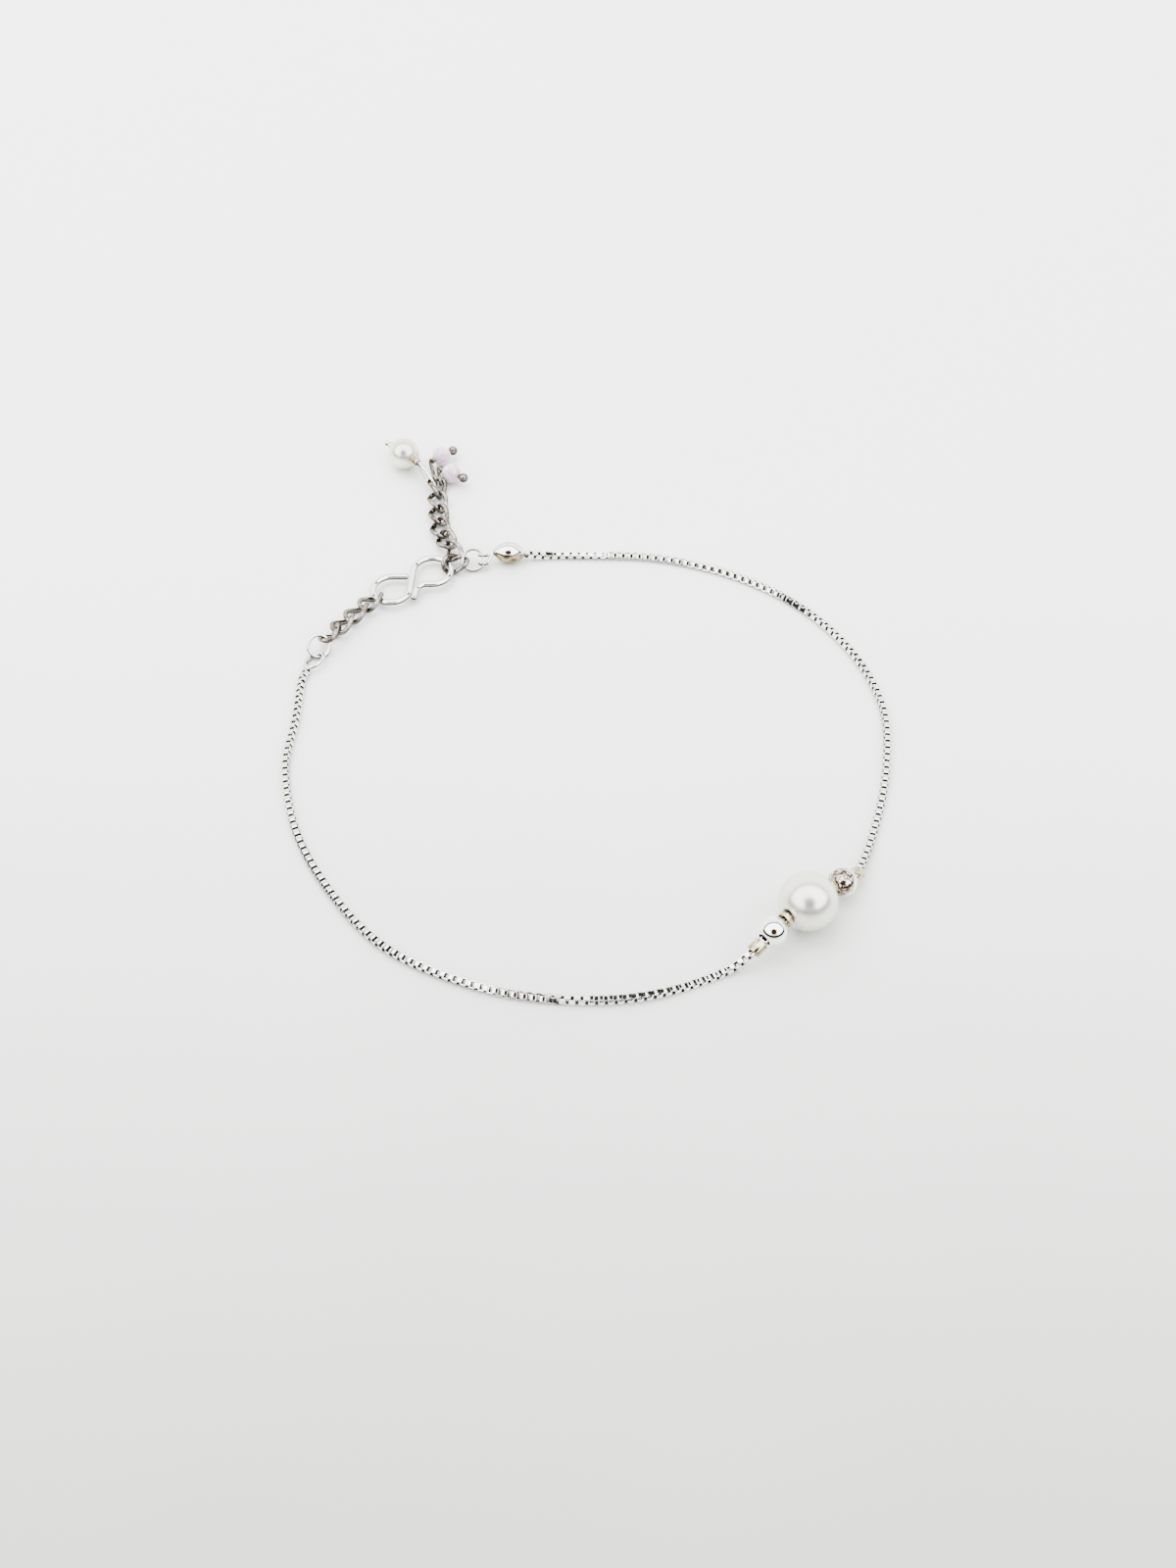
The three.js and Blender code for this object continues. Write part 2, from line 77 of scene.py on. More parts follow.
def add_camera():
    data = bpy.data.cameras.new("camera")
    data.lens = CAMERA_LENS
    data.sensor_width = 36
    data.clip_start = 0.01
    camera = bpy.data.objects.new("camera", data)
    camera.location = PLACE @ CAMERA_FOOT
    camera.rotation_euler = (math.radians(90 - CAMERA_DOWN), 0, 0)
    bpy.context.scene.collection.objects.link(camera)
    bpy.context.scene.camera = camera


# Shader maths


class Socket:
    """An output socket of a node tree, which can be added to, multiplied and so on."""

    def __init__(self, tree, socket):
        self.tree = tree
        self.socket = socket

    def node(self, kind, settings=None, output=0, **inputs):
        """Adds a node and returns one of its outputs. An input's name may be a number with an i."""
        made = self.tree.nodes.new(kind)
        for key, value in (settings or {}).items():
            setattr(made, key, value)
        for key, value in inputs.items():
            index = int(key[1:]) if key[1:].isdigit() else key.replace("_", " ")
            target = made.inputs[index]
            if isinstance(value, Socket):
                self.tree.links.new(value.socket, target)
            else:
                target.default_value = value
        return Socket(self.tree, made.outputs[output])

    def math(self, operation, other):
        return self.node("ShaderNodeMath", {"operation": operation}, i0=self, i1=other)

    def __add__(self, other):
        return self.math("ADD", other)

    def __mul__(self, other):
        return self.math("MULTIPLY", other)

    def __sub__(self, other):
        return self.math("SUBTRACT", other)

    def __rsub__(self, other):
        return self.node("ShaderNodeMath", {"operation": "SUBTRACT"}, i0=other, i1=self)

    __radd__ = __add__
    __rmul__ = __mul__

    def vector_math(self, operation, other, output=0):
        return self.node("ShaderNodeVectorMath", {"operation": operation}, output, i0=self, i1=other)

    def axis(self, index):
        """One of a vector's three coordinates."""
        return self.node("ShaderNodeSeparateXYZ", output=index, Vector=self)

    def between(self, low, high):
        """0 up to low, 1 from high on, smooth between them."""
        return self.node(
            "ShaderNodeMapRange",
            {"interpolation_type": "SMOOTHSTEP"},
            Value=self,
            From_Min=low,
            From_Max=high,
        )

    def mix(self, low, high):
        """A colour between two colours, by this value."""
        return self.node(
            "ShaderNodeMix", {"data_type": "RGBA"}, output=2, i0=self, i6=low, i7=high
        )


class Finish:
    """A material with one Principled shader and the object's own coordinates in metres."""

    def __init__(self, name, **constants):
        self.material = bpy.data.materials.new(name)
        self.material.use_nodes = True
        self.tree = self.material.node_tree
        self.shader = self.tree.nodes["Principled BSDF"]
        for key, value in constants.items():
            self.shader.inputs[key.replace("_", " ")].default_value = value
        place = self.tree.nodes.new("ShaderNodeTexCoord")
        self.place = Socket(self.tree, place.outputs["Object"])

    def set(self, name, value):
        self.tree.links.new(value.socket, self.shader.inputs[name])

    def noise(self, size, detail=2.0, roughness=0.5, distortion=0.0):
        """Noise whose patches are about size millimetres across."""
        return self.place.node(
            "ShaderNodeTexNoise",
            Vector=self.place,
            Scale=1 / (size * MM),
            Detail=detail,
            Roughness=roughness,
            Distortion=distortion,
        )

    def bump(self, height, depth, strength=1.0):
        """Raises the surface by a height from 0 to 1, times a depth in millimetres."""
        bump = height.node("ShaderNodeBump", Strength=strength, Distance=depth * MM, Height=height)
        self.set("Normal", bump)


def facing_up(finish, cloud, low, high):
    """0 on what faces the table, 1 on what faces the sky, with a cloudy edge between them. It masks the
    shade painted on undersides.
    """
    normal = finish.place.node("ShaderNodeNewGeometry", output=1)
    return (normal.axis(2) + 0.2 * cloud).between(low, high)


def wire_silver(name, low, high):
    """Polished silver wire, painted near-black as shade on its underside, with faint polish marks."""
    finish = Finish(name, Specular_Tint=(0.2, 0.18, 0.16, 1))
    cloud = finish.noise(1.6, detail=3)
    marks = finish.noise(0.25, detail=4, distortion=1.5)
    # Painted shade: what faces the table turns near-black, dull and less metallic.
    unshaded_top = facing_up(finish, cloud, low, high)
    polish = cloud.between(0.3, 0.7).mix((0.90, 0.895, 0.885, 1), (0.97, 0.965, 0.95, 1))
    finish.set("Metallic", unshaded_top)
    finish.set("Base Color", unshaded_top.mix((0.035, 0.028, 0.022, 1), polish))
    finish.set("Roughness", 0.05 + 0.05 * marks.between(0.35, 0.75) + 0.4 * (1 - unshaded_top))
    finish.bump(marks, 0.004, 0.4)
    return finish.material


def mirror_silver():
    """The balls' mirror polish, with faint wiping marks."""
    finish = Finish("mirror_silver", Metallic=1.0)
    cloud = finish.noise(1.6, detail=3)
    marks = finish.noise(0.25, detail=4, distortion=1.5)
    finish.set("Base Color", cloud.between(0.3, 0.7).mix((0.92, 0.915, 0.905, 1), (0.97, 0.965, 0.955, 1)))
    finish.set("Roughness", 0.015 + 0.03 * marks.between(0.35, 0.75))
    finish.bump(marks, 0.002, 0.4)
    return finish.material


def mirror_with_painted_reflection(node, towards):
    """The balls' mirror polish with a painted reflection on top, in brown and dark blue-grey, on the side
    towards a point: the pearl and its surroundings as mirrored there.
    """
    finish = Finish("silver_with_painted_reflection", Metallic=1.0)
    middle = middle_of(node)
    way = (towards - middle).normalized() + Vector((0, -0.2, 0.9))
    height = finish.place.vector_math("SUBTRACT", middle).vector_math("DOT_PRODUCT", way, output=1)
    patches = finish.noise(1.5, detail=2, distortion=1.2)
    streaks = finish.noise(0.7, detail=2, distortion=2.0)
    # Painted reflection: a brown and dark blue-grey patch on the top, turned towards the pearl, a little
    # rougher under it.
    painted_reflection = (height * (1 / (BALL_DIAMETER / 2 * MM)) + 0.9 * (patches - 0.5)).between(0.25, 0.6)
    reflected_tones = streaks.between(0.42, 0.5).mix((0.03, 0.03, 0.035, 1), (0.42, 0.30, 0.21, 1))
    finish.set("Base Color", (painted_reflection * streaks.between(0.62, 0.56)).mix((0.95, 0.94, 0.93, 1), reflected_tones))
    finish.set("Roughness", 0.02 + 0.12 * painted_reflection)
    return finish.material


def tarnish_and_shade():
    """The brown-black insides and ends of the chain's links: partly oxide where no polish reaches, partly
    painted shade that darkens the openings between the links.
    """
    finish = Finish("tarnish_and_shade", Specular_IOR_Level=0.2)
    grain = finish.noise(0.3, detail=3)
    finish.set("Base Color", grain.between(0.35, 0.65).mix((0.012, 0.009, 0.006, 1), (0.05, 0.04, 0.03, 1)))
    finish.set("Roughness", 0.5 + 0.2 * grain)
    return finish.material


def worn_silver():
    """Darkened silver, grey-brown where it is tarnished, lighter where it is rubbed, and
    painted near-black as shade on its underside."""
    finish = Finish("worn_silver", Specular_Tint=(0.2, 0.17, 0.14, 1))
    patches = finish.noise(1.3, detail=4, roughness=0.6)
    grain = finish.noise(0.16, detail=3)
    tone = (patches * 0.7 + grain * 0.3).between(0.40, 0.60)
    # Painted shade: what faces the table turns near-black, duller and less metallic.
    unshaded_top = facing_up(finish, patches, 0.1, 0.6)
    finish.set("Metallic", 0.2 + 0.8 * unshaded_top)
    rubbed = tone.mix((0.09, 0.075, 0.06, 1), (0.36, 0.34, 0.31, 1))
    finish.set("Base Color", unshaded_top.mix((0.03, 0.024, 0.018, 1), rubbed))
    finish.set("Roughness", 0.10 + 0.14 * patches.between(0.35, 0.7) + 0.3 * (1 - unshaded_top))
    finish.bump(grain, 0.012, 0.6)
    return finish.material


def plated_gold(name, deep, pale, rough):
    """Thin gold-coloured plating, a little uneven in tone."""
    finish = Finish(name, Metallic=1.0)
    tone = finish.noise(0.8, detail=3)
    marks = finish.noise(0.18, detail=3)
    finish.set("Base Color", tone.between(0.35, 0.65).mix(deep, pale))
    finish.set("Roughness", rough + 0.12 * marks.between(0.3, 0.75))
    finish.bump(marks, 0.006, 0.5)
    return finish.material


def pearl_coat():
    """Pearl lustre: a soft, warm white metallic glow."""
    finish = Finish("nacre", Metallic=0.9, Specular_IOR_Level=0.5)
    cloud = finish.noise(3.0, detail=2)
    skin = finish.noise(0.8, detail=2)
    finish.set("Base Color", cloud.between(0.3, 0.7).mix((0.70, 0.68, 0.60, 1), (0.78, 0.765, 0.69, 1)))
    finish.set("Roughness", 0.27 + 0.04 * skin.between(0.3, 0.7))
    finish.bump(skin, 0.002, 0.3)
    return finish.material


def lilac_glass():
    """Cloudy lilac glass with a lustre coat and faint pale flecks."""
    coat = dict(Coat_Weight=0.7, Coat_Roughness=0.05)
    finish = Finish("lilac_glass", Subsurface_Weight=0.4, Subsurface_Scale=0.001, **coat)
    cloud = finish.noise(1.4, detail=2, distortion=0.5)
    flecks = finish.noise(0.4, detail=2)
    tone = cloud.between(0.35, 0.65).mix((0.50, 0.34, 0.49, 1), (0.70, 0.56, 0.69, 1))
    finish.set("Base Color", (0.6 * flecks.between(0.55, 0.72)).mix(tone, (0.95, 0.94, 0.96, 1)))
    finish.set("Roughness", 0.12 + 0.14 * cloud.between(0.3, 0.7))
    finish.bump(flecks, 0.006, 0.4)
    return finish.material


# Mesh tools

TOUCHING = 1e-4


def new_piece(name, bm, material, slot, *replaced, sharp=35, second=None):
    """Turns a bmesh in layout millimetres into an object in place, and hides what it replaces.
    Edges sharper than so many degrees stay crisp, and faces of index 1 take the second finish."""
    bmesh.ops.recalc_face_normals(bm, faces=bm.faces)
    for face in bm.faces:
        face.smooth = True
    for edge in bm.edges:
        if len(edge.link_faces) == 2 and edge.calc_face_angle() > math.radians(sharp):
            edge.smooth = False
    mesh = bpy.data.meshes.new(name)
    bm.to_mesh(mesh)
    bm.free()
    mesh.transform(PLACE)
    mesh.materials.append(material)
    if second:
        mesh.materials.append(second)
    piece = bpy.data.objects.new(name, mesh)
    bpy.context.scene.collection.objects.link(piece)
    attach(piece, "root")
    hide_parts(*replaced)
    return piece


def join(target, made, matrix=None):
    """Adds a made bmesh to the target, moved by a matrix, and frees it."""
    mesh = bpy.data.meshes.new("joined")
    made.to_mesh(mesh)
    made.free()
    if matrix is not None:
        mesh.transform(matrix)
    target.from_mesh(mesh)
    bpy.data.meshes.remove(mesh)


def turn_at(place, heading=0.0, rise=0.0, roll=0.0):
    """The matrix that takes a shape made along +X to a place, a heading, a rise and a roll."""
    turn = Euler((math.radians(roll), math.radians(-rise), math.radians(heading)), "XYZ")
    return Matrix.Translation(place) @ turn.to_matrix().to_4x4()


def along(start, end, share=0.5, roll=0.0):
    """The matrix that takes a shape made along +X to the way from one point to another."""
    way = end - start
    heading = math.degrees(math.atan2(way.y, way.x))
    rise = math.degrees(math.atan2(way.z, math.hypot(way.x, way.y)))
    return turn_at(start.lerp(end, share), heading, rise, roll)


def carried_frames(path, closed):
    """A matrix at each point of a path, its Z along the path, turning no more than it has to."""
    count = len(path)
    ways = []
    for i in range(count):
        before = path[i - 1] if closed or i > 0 else path[i]
        after = path[(i + 1) % count] if closed or i < count - 1 else path[i]
        ways.append((after - before).normalized())
    helper = Vector((0, 0, 1)) if abs(ways[0].z) < 0.9 else Vector((1, 0, 0))
    side = ways[0].cross(helper).normalized()
    frames = []
    for i, way in enumerate(ways):
        if i > 0:
            side = ways[i - 1].rotation_difference(way) @ side
        side = (side - way * side.dot(way)).normalized()
        turn = Matrix((side, way.cross(side), way)).transposed().to_4x4()
        frames.append(Matrix.Translation(path[i]) @ turn)
    return frames


def wire(path, width, height=None, sides=12, closed=False, taper=None):
    """A wire swept along a path. A taper gives the share of its thickness at each point."""
    height = height or width
    frames = carried_frames(path, closed)
    taper = taper or [1.0] * len(path)
    bm = bmesh.new()
    ring = bmesh.ops.create_circle(bm, segments=sides, radius=0.5)["verts"]
    edges = bm.edges[:]
    first = edges
    placed = [
        place @ Matrix.Diagonal((width * share, height * share, 1, 1))
        for place, share in zip(frames, taper)
    ]
    bmesh.ops.transform(bm, matrix=placed[0], verts=ring)
    for before, after in zip(placed, placed[1:]):
        grown = bmesh.ops.extrude_edge_only(bm, edges=edges)["geom"]
        ring = [part for part in grown if isinstance(part, bmesh.types.BMVert)]
        inside = set(ring)
        edges = [
            part for part in grown
            if isinstance(part, bmesh.types.BMEdge) and inside.issuperset(part.verts)
        ]
        bmesh.ops.transform(bm, matrix=after @ before.inverted(), verts=ring)
    if closed:
        bmesh.ops.bridge_loops(bm, edges=first + edges)
    else:
        bmesh.ops.edgeloop_fill(bm, edges=first)
        bmesh.ops.edgeloop_fill(bm, edges=edges)
    return bm


def rounded_ends(count, steps):
    """The taper of a wire whose two ends are rounded over their last few points."""
    shares = [1.0] * count
    for i in range(steps):
        share = math.sqrt(1 - (1 - (i + 0.45) / steps) ** 2)
        shares[i] = share
        shares[-1 - i] = share
    return shares


def turned(profile, steps=40):
    """A profile of radius and distance along, turned about the +X axis. One whose two ends are
    clear of the axis is closed first, and leaves a hole through the shape."""
    bm = bmesh.new()
    verts = [bm.verts.new((way, 0, radius)) for radius, way in profile]
    edges = [bm.edges.new(pair) for pair in zip(verts, verts[1:])]
    is_hollow = profile[0][0] > 0 and profile[-1][0] > 0
    if is_hollow:
        edges.append(bm.edges.new((verts[-1], verts[0])))
    bmesh.ops.spin(
        bm,
        geom=verts + edges,
        cent=(0, 0, 0),
        axis=(1, 0, 0),
        angle=2 * math.pi,
        steps=steps,
        use_merge=True,
    )
    bmesh.ops.remove_doubles(bm, verts=bm.verts, dist=TOUCHING)
    return bm


def bevel_edges(bm, edges, offset, segments):
    bmesh.ops.bevel(
        bm, geom=edges, offset=offset, segments=segments, profile=0.5, affect="EDGES", material=-1
    )


def thicken(bm, thickness):
    """Gives an open shell round the origin a wall of some thickness."""
    bmesh.ops.recalc_face_normals(bm, faces=bm.faces)
    for face in bm.faces:
        if face.normal.dot(face.calc_center_median()) < 0:
            face.normal_flip()
    bmesh.ops.solidify(bm, geom=bm.faces[:], thickness=thickness)


def bead(diameter, bore, rows=26, steps=48, rim=0.08):
    """A round bead with a straight hole along +X, its mouths a little rounded."""
    radius = diameter / 2
    start = math.asin((bore / 2 + rim) / radius)
    profile = []
    for i in range(rows + 1):
        angle = start + (math.pi - 2 * start) * i / rows
        profile.append((radius * math.sin(angle), -radius * math.cos(angle)))
    mouth = profile[-1][1] - rim * 0.7
    profile += [(bore / 2 + rim * 0.3, mouth + rim * 0.5), (bore / 2, mouth), (bore / 2, -mouth)]
    profile += [(bore / 2 + rim * 0.3, -mouth - rim * 0.5)]
    return turned(profile, steps)


def tube(diameter, length, bore, rim, steps=32):
    """A short tube with rounded rims, its hole along +X."""
    outer, inner, half = diameter / 2, bore / 2, length / 2
    profile = [
        (inner, -half + rim * 0.4),
        (inner + rim * 0.4, -half),
        (outer - rim, -half),
        (outer - rim * 0.3, -half + rim * 0.3),
        (outer, -half + rim),
        (outer, half - rim),
        (outer - rim * 0.3, half - rim * 0.3),
        (outer - rim, half),
        (inner + rim * 0.4, half),
        (inner, half - rim * 0.4),
    ]
    return turned(profile, steps)


def oval(length, width, twist=0.0, steps=48, start=0.0, end=1.0):
    """Points round an oval, its long axis along +X, whose sides rise and fall by the twist.
    From a start to an end, as shares of a turn, it stays open."""
    closed = end - start >= 1
    count = steps if closed else steps + 1
    path = []
    for i in range(count):
        angle = 2 * math.pi * (start + (end - start) * i / steps)
        rise = twist * math.sin(2 * angle)
        path.append(Vector((length / 2 * math.cos(angle), width / 2 * math.sin(angle), rise)))
    return path


# The chain's course on the table, from its left end to the left crimp, and from the right
# crimp to the bead tip: x and y

LEFT_ROUTE = [
    (-41.5, 6.3),
    (-41.95, 5.0),
    (-42.2, -3.0),
    (-42.8, -12.2),
    (-40.3, -23.9),
    (-34.8, -34.4),
    (-27.0, -43.6),
    (-16.5, -49.2),
    (-4.9, -51.9),
    (7.1, -51.6),
    (18.3, -47.5),
]
RIGHT_ROUTE = [
    (39.0, -25.2),
    (42.2, -12.5),
    (42.7, -0.6),
    (38.9, 10.7),
    (31.6, 20.2),
    (21.8, 26.8),
    (10.3, 30.4),
    (-1.7, 30.9),
    (-6.0, 30.85),
]
ROUTE_END = Vector((-9.3, 30.6, 1.15))
REACH_INTO_TIP = Vector((-0.4, -0.03, 0))
CHAIN_WIDTH = 1.1
CHAIN_HEIGHT = CHAIN_WIDTH / 2
THREADED = ["crimp_left", "ball_left", "seed_left", "pearl", "seed_right", "ball_right", "crimp_right"]
FINE_STEP = 0.08


def smooth_curve(points, spacing):
    """Points at even distances along a centripetal Catmull-Rom curve through some points."""
    ends = [points[0] * 2 - points[1], *points, points[-1] * 2 - points[-2]]
    fine = []
    for p0, p1, p2, p3 in zip(ends, ends[1:], ends[2:], ends[3:]):
        t0 = 0.0
        t1 = t0 + math.sqrt((p1 - p0).length)
        t2 = t1 + math.sqrt((p2 - p1).length)
        t3 = t2 + math.sqrt((p3 - p2).length)
        steps = max(4, int((p2 - p1).length / FINE_STEP))
        for i in range(steps):
            t = t1 + (t2 - t1) * i / steps
            a1 = p0.lerp(p1, (t - t0) / (t1 - t0))
            a2 = p1.lerp(p2, (t - t1) / (t2 - t1))
            a3 = p2.lerp(p3, (t - t2) / (t3 - t2))
            b1 = a1.lerp(a2, (t - t0) / (t2 - t0))
            b2 = a2.lerp(a3, (t - t1) / (t3 - t1))
            fine.append(b1.lerp(b2, (t - t1) / (t2 - t1)))
    fine.append(points[-1].copy())
    even = [fine[0]]
    walked = 0.0
    for before, after in zip(fine, fine[1:]):
        step = (after - before).length
        while walked + step >= spacing * len(even):
            share = (spacing * len(even) - walked) / step
            even.append(before.lerp(after, share))
        walked += step
    return even


def chain_route():
    points = [Vector((x, y, CHAIN_HEIGHT)) for x, y in LEFT_ROUTE]
    points += [layout(node) for node in THREADED]
    points += [Vector((x, y, CHAIN_HEIGHT)) for x, y in RIGHT_ROUTE]
    return points + [ROUTE_END + REACH_INTO_TIP]


# One link of the box chain: a strip of metal folded into a square ring

LINK_PITCH = 0.626
LINK_OUTER = 0.93
LINK_STRIP = 0.70
LINK_METAL = 0.15
LINK_FOLD = 0.22
LINK_RIM = 0.045

# How far the chain has rolled about itself: share of its length, degrees

ROLLS = [
    (0.0, 40),
    (0.10, 8),
    (0.22, 0),
    (0.28, 10),
    (0.335, 42),
    (0.37, 90),
    (0.42, 90),
    (0.60, 90),
    (0.70, 95),
    (0.78, 112),
    (0.84, 128),
    (0.93, 136),
    (0.965, 160),
    (1.0, 180),
]


def roll_at(share):
    """The roll in degrees at a share of the chain's length, smooth from one row to the next."""
    for (start, roll), (end, next_roll) in zip(ROLLS, ROLLS[1:]):
        if share <= end:
            t = (share - start) / (end - start)
            return roll + (next_roll - roll) * t * t * (3 - 2 * t)
    return ROLLS[-1][1]


def box_link():
    """One link, its hole along +Y. Its inside and its two ends have material index 1."""
    bm = bmesh.new()
    size = Matrix.Diagonal((LINK_OUTER, LINK_STRIP, CHAIN_WIDTH, 1))
    bmesh.ops.create_cube(bm, size=1, matrix=size)
    open_sides = [face for face in bm.faces if abs(face.normal.y) > 0.5]
    bmesh.ops.delete(bm, geom=open_sides, context="FACES_ONLY")
    folds = [
        edge for edge in bm.edges
        if abs(edge.verts[0].co.y - edge.verts[1].co.y) > LINK_STRIP / 2
    ]
    bevel_edges(bm, folds, LINK_FOLD, 2)
    thicken(bm, LINK_METAL)
    # Material index 1 darkens the insides and the two end walls: partly oxide, partly painted shade in the
    # openings between links.
    for face in bm.faces:
        inner = face.normal.dot(face.calc_center_median()) < -0.1
        end = abs(face.normal.x) > 0.5
        face.material_index = int(inner or end)
    rims = []
    for edge in bm.edges:
        flat = abs(edge.verts[0].co.y - edge.verts[1].co.y) < TOUCHING
        middle = (edge.verts[0].co + edge.verts[1].co) / 2
        if flat and max(abs(middle.x) / LINK_OUTER, abs(middle.z) / CHAIN_WIDTH) > 0.4:
            rims.append(edge)
    bevel_edges(bm, rims, LINK_RIM, 1)
    return bm


def add_chain(silver, dark):
    pattern = bpy.data.meshes.new("box_link")
    made = box_link()
    made.to_mesh(pattern)
    made.free()
    middles = smooth_curve(chain_route(), LINK_PITCH)
    bm = bmesh.new()
    for i, middle in enumerate(middles):
        before = middles[max(i - 1, 0)]
        after = middles[min(i + 1, len(middles) - 1)]
        way = (after - before).normalized()
        side = way.cross(Vector((0, 0, 1))).normalized()
        turn = Matrix((way, -side, way.cross(-side))).transposed().to_4x4()
        roll = roll_at(i / (len(middles) - 1)) + 90 * (i % 2)
        place = Matrix.Translation(middle) @ turn @ Matrix.Rotation(math.radians(roll), 4, "X")
        link = pattern.copy()
        link.transform(place)
        bm.from_mesh(link)
        bpy.data.meshes.remove(link)
    lift_onto_table(bm)
    new_piece("box_chain_links", bm, silver, "silver", "box_chain", sharp=30, second=dark)
    bpy.data.meshes.remove(pattern)


def lift_onto_table(bm):
    """Presses what would be under the table up onto it."""
    for vert in bm.verts:
        vert.co.z = max(vert.co.z, 0.0)


# The pearl and what is threaded beside it

PEARL_DIAMETER = 8.0
SEED_DIAMETER = 2.26
SEED_LENGTH = 0.72
BALL_DIAMETER = 4.0
CRIMP_DIAMETER = 1.86
CRIMP_LENGTH = 1.85
CRIMP_BORE = 1.36
BEAD_BORE = 1.87


def add_beads(silver, reflection_painted_mirror, gold, pale_gold, nacre):
    pearl = layout("pearl")
    across = layout("seed_right") - layout("seed_left")
    bm = bmesh.new()
    pearl_shape = bead(PEARL_DIAMETER, BEAD_BORE, rows=44, steps=72, rim=0.12)
    join(bm, pearl_shape, along(pearl - across, pearl + across))
    new_piece("pearl_bead", bm, nacre, "nacre", "pearl")
    for side in ("left", "right"):
        before = pearl
        seed_shape = tube(SEED_DIAMETER, SEED_LENGTH, BEAD_BORE, 0.1, steps=9)
        ball_shape = bead(BALL_DIAMETER, BEAD_BORE, rows=36, steps=60)
        shapes = [
            ("seed", "facets", gold, "gold", seed_shape),
            ("ball", "mirror", silver if side == "left" else reflection_painted_mirror, "silver", ball_shape),
            ("crimp", "tube", pale_gold, "pale_gold", crimp_tube()),
        ]
        for kind, look, material, slot, shape in shapes:
            node = f"{kind}_{side}"
            middle = layout(node)
            way = middle - before
            bm = bmesh.new()
            join(bm, shape, along(middle - way, middle + way))
            new_piece(f"{node}_{look}", bm, material, slot, node, sharp=25)
            before = middle


def crimp_tube():
    """A crimp squeezed onto the chain: a short tube, a little oval across."""
    bm = tube(CRIMP_DIAMETER, CRIMP_LENGTH, CRIMP_BORE, 0.09, steps=30)
    bmesh.ops.transform(bm, matrix=Matrix.Diagonal((1, 1.06, 0.9, 1)), verts=bm.verts)
    return bm


# The curb links, bent from wire of LINK_WIRE and shown a little thicker: name, middle,
# heading, rise and roll in degrees

LINK_WIRE = 0.52
LINK_SHOWN = 0.74
LINK_LENGTH = 4.36
LINK_WIDTH = 3.16
LINK_TWIST = -0.55
LINKS = [
    ("curb_link_1", (-38.25, 12.75, 1.72), 58, -9, -51),
    ("curb_link_2", (-36.7, 15.45, 1.2), 54, -2, -24),
    ("curb_link_3", (-34.85, 17.85, 1.12), 48, 2, -20),
    ("curb_link_4", (-32.85, 20.15, 1.2), 44, 0, -20),
    ("extension_link_1", (-20.5, 28.5, 1.27), 26, 0, 20),
    ("extension_link_2", (-21.0, 30.95, 1.58), 113, -2, -54),
    ("extension_link_3", (-22.15, 33.85, 1.18), 108, -2, -15),
    ("extension_link_4", (-23.2, 36.7, 1.0), 98, 0, -8),
    ("extension_link_5", (-23.6, 39.8, 0.98), 95, 0, 6),
    ("extension_link_6", (-23.9, 42.9, 1.07), 94, 0, 18),
    ("extension_link_7", (-24.1, 46.0, 1.32), 92, 0, 36),
]

# The jump rings: name, middle, tilt and drop in degrees, where it is cut as a share of a
# turn, the wire's thickness as it is shown

RING_WIRE = 0.5
RING_DIAMETER = 3.8
RING_HAIRLINE = 0.004
RINGS = [
    ("jump_ring_left", (-39.93, 10.42, 1.555), 40, 31, 0.28, 0.56),
    ("jump_ring_right", (-17.7, 29.05, 1.45), 40, 0, 0.36, 0.5),
]


def add_links(grey_silver):
    for name, place, heading, rise, roll in LINKS:
        path = oval(LINK_LENGTH - LINK_WIRE, LINK_WIDTH - LINK_WIRE, LINK_TWIST)
        bm = bmesh.new()
        shape = wire(path, LINK_SHOWN, sides=12, closed=True)
        join(bm, shape, turn_at(Vector(place), heading, rise, roll))
        new_piece(name + "_wire", bm, grey_silver, "grey_silver", name)


def add_rings(silver):
    """Jump rings, each with the hairline where its two cut ends meet."""
    across = RING_DIAMETER - RING_WIRE
    for name, place, tilt, drop, cut, shown in RINGS:
        start = cut + RING_HAIRLINE
        path = oval(across, across, steps=52, start=start, end=cut + 1 - RING_HAIRLINE)
        bm = bmesh.new()
        join(bm, wire(path, shown, sides=14), turn_at(Vector(place), 0, -drop, tilt))
        new_piece(name + "_wire", bm, silver, "silver", name)


END_LOOP_HEADING = 62
END_LOOP_ROLL = -20
END_LOOP_WIRE = 0.45
END_LOOP_LENGTH = 3.7
END_LOOP_WIDTH = 3.0
END_LOOP_NECK = 0.45
END_LOOP_LIFT = 0.2


def add_end_loop(silver):
    """The loop on the chain's left end: an oval of wire, and its stem to the chain."""
    start = Vector((*LEFT_ROUTE[0], CHAIN_HEIGHT))
    half = (END_LOOP_LENGTH - END_LOOP_WIRE) / 2
    reach = 0.12 + END_LOOP_NECK + half
    heading = math.radians(END_LOOP_HEADING)
    way = Vector((math.cos(heading), math.sin(heading), 0))
    middle = start + way * reach + Vector((0, 0, END_LOOP_LIFT))
    place = turn_at(middle, END_LOOP_HEADING, 0, END_LOOP_ROLL)
    course = oval(END_LOOP_LENGTH - END_LOOP_WIRE, END_LOOP_WIDTH - END_LOOP_WIRE)
    stem = [Vector((-half - END_LOOP_NECK + END_LOOP_NECK * i / 3, 0, 0)) for i in range(4)]
    bm = bmesh.new()
    join(bm, wire(course, END_LOOP_WIRE * 1.2, closed=True), place)
    join(bm, wire(stem, 0.66, sides=14, taper=[0.85, 1, 1, 0.8]), place)
    new_piece("end_loop_wire", bm, silver, "silver", "end_loop")


# The hook: where its eye and its bend hold a link, the way from there to the middle of each
# in degrees, and how far the wire runs on before the eye and after the bend

